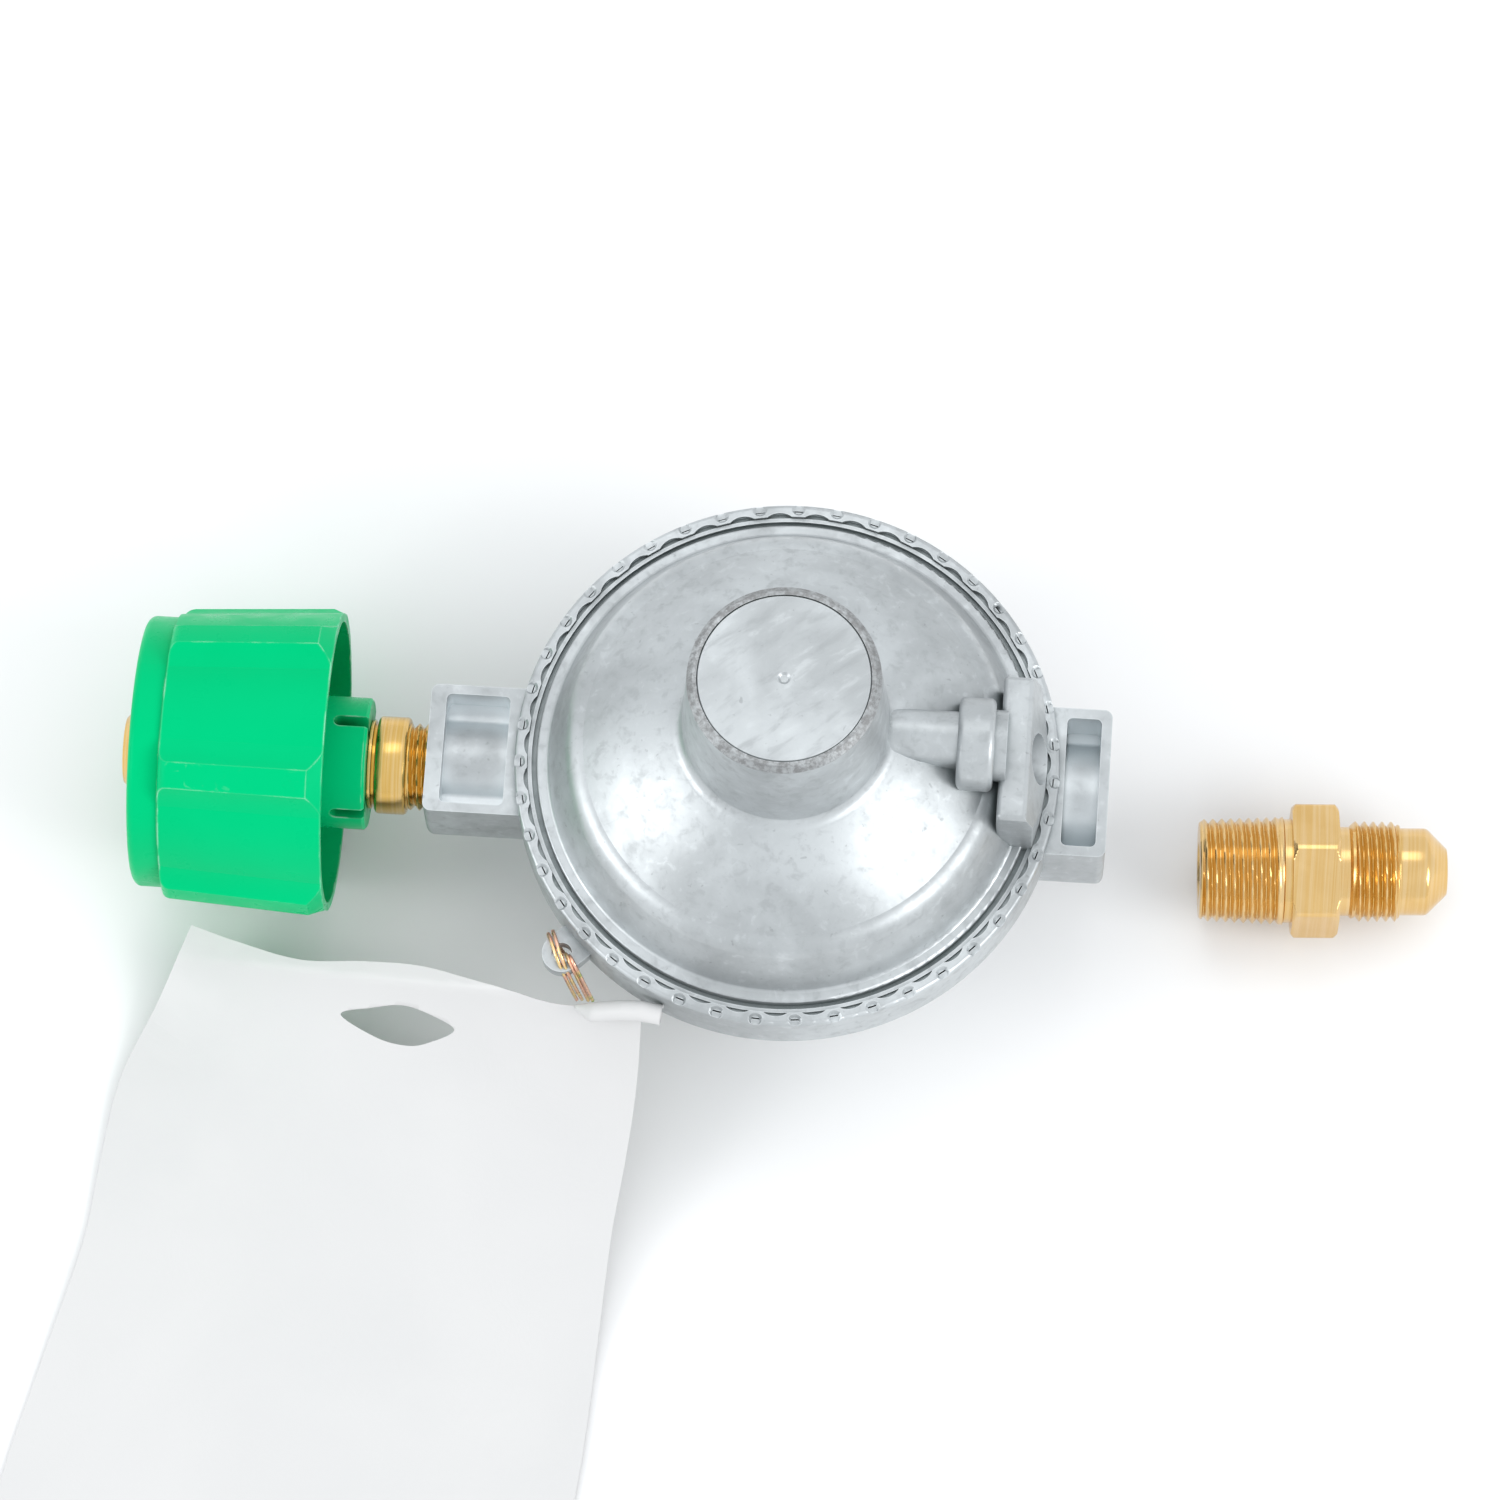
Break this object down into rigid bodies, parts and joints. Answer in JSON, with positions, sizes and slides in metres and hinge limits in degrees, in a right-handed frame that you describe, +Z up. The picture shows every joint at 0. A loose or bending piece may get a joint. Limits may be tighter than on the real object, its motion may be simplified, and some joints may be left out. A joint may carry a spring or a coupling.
{
  "type": "gas pressure regulator",
  "caption": "Low-pressure gas regulator with hand-tightened inlet nut, round staked body with tower and side vent, female outlet port, film hang tag and loose flare adapter.",
  "frame": {"origin": "centre of the casing's round flat foot, on the axis of the tower", "axes": "+Z up the tower, +X from the inlet nut to the outlet port, +Y towards the top of the picture"},
  "size_m": [0.2239, 0.1875, 0.081],
  "materials": {
    "casting": "zinc alloy casting, as cast, satin",
    "green_plastic": "moulded thermoplastic, worn edges",
    "brass": "turned, as machined",
    "steel": "stamped and plated",
    "spring_steel": "oiled spring wire",
    "rubber": "moulded nitrile",
    "diaphragm_rubber": "fabric-backed nitrile sheet",
    "plated_wire": "yellow passivated steel wire",
    "film": "white film, satin",
    "black_plastic": "moulded"
  },
  "bodies": {
    "housing": {"lower_casing": "casting", "cover": "casting", "tower_cap": "casting", "main_spring": "spring_steel", "diaphragm": "diaphragm_rubber", "relief_spring": "spring_steel", "lever_pin": "steel", "valve_orifice": "brass", "inlet_nipple": "brass", "excess_flow_spring": "spring_steel", "excess_flow_retainer": "brass", "vent_screen": "steel", "vent_screen_ring": "steel", "flare_adapter": "brass", "tag_wire": "plated_wire", "hang_tag": "film"},
    "coupling_nut": {"coupling_nut": "green_plastic"},
    "diaphragm_stem": {"pusher": "casting", "relief_nut": "steel"},
    "diaphragm_plate": {"diaphragm_plate": "steel"},
    "lever": {"lever": "steel"},
    "seat": {"seat_holder": "brass", "seat_disc": "rubber"},
    "adjusting_screw": {"adjusting_screw": "black_plastic"},
    "flow_poppet": {"excess_flow_poppet": "brass"}
  },
  "joints": [
    {"name": "nut_spin", "type": "hinge", "parent": "housing", "child": "coupling_nut", "pos_m": [-0.084, 0, 0.0254], "axis": [1, 0, 0], "continuous": true},
    {"name": "diaphragm_travel", "type": "slide", "parent": "housing", "child": "diaphragm_stem", "axis": [0, 0, 1], "range_m": [0, 0.003], "stiffness_N_per_m": 800, "springref_m": -0.003, "deforming": ["main_spring", "diaphragm"]},
    {"name": "relief_lift", "type": "slide", "parent": "diaphragm_stem", "child": "diaphragm_plate", "axis": [0, 0, 1], "range_m": [0, 0.0015], "stiffness_N_per_m": 1500, "springref_m": -0.001, "deforming": ["relief_spring"]},
    {"name": "lever_swing", "type": "hinge", "parent": "housing", "child": "lever", "pos_m": [-0.018, 0, 0.0184], "axis": [0, -1, 0], "range_deg": [0, 9.56]},
    {"name": "seat_slide", "type": "slide", "parent": "housing", "child": "seat", "axis": [-1, 0, 0], "range_m": [0, 0.00117]},
    {"name": "adjusting_slide", "type": "slide", "parent": "housing", "child": "adjusting_screw", "axis": [0, 0, 1], "range_m": [-0.005, 0.004]},
    {"name": "excess_flow", "type": "slide", "parent": "housing", "child": "flow_poppet", "axis": [1, 0, 0], "range_m": [0, 0.002], "stiffness_N_per_m": 100, "springref_m": -0.001, "deforming": ["excess_flow_spring"]}
  ],
  "couplings": [
    {"joint": "lever_swing", "follows": "diaphragm_travel", "rad_per_m": 55.556},
    {"joint": "seat_slide", "follows": "diaphragm_travel", "ratio": 0.38889}
  ]
}
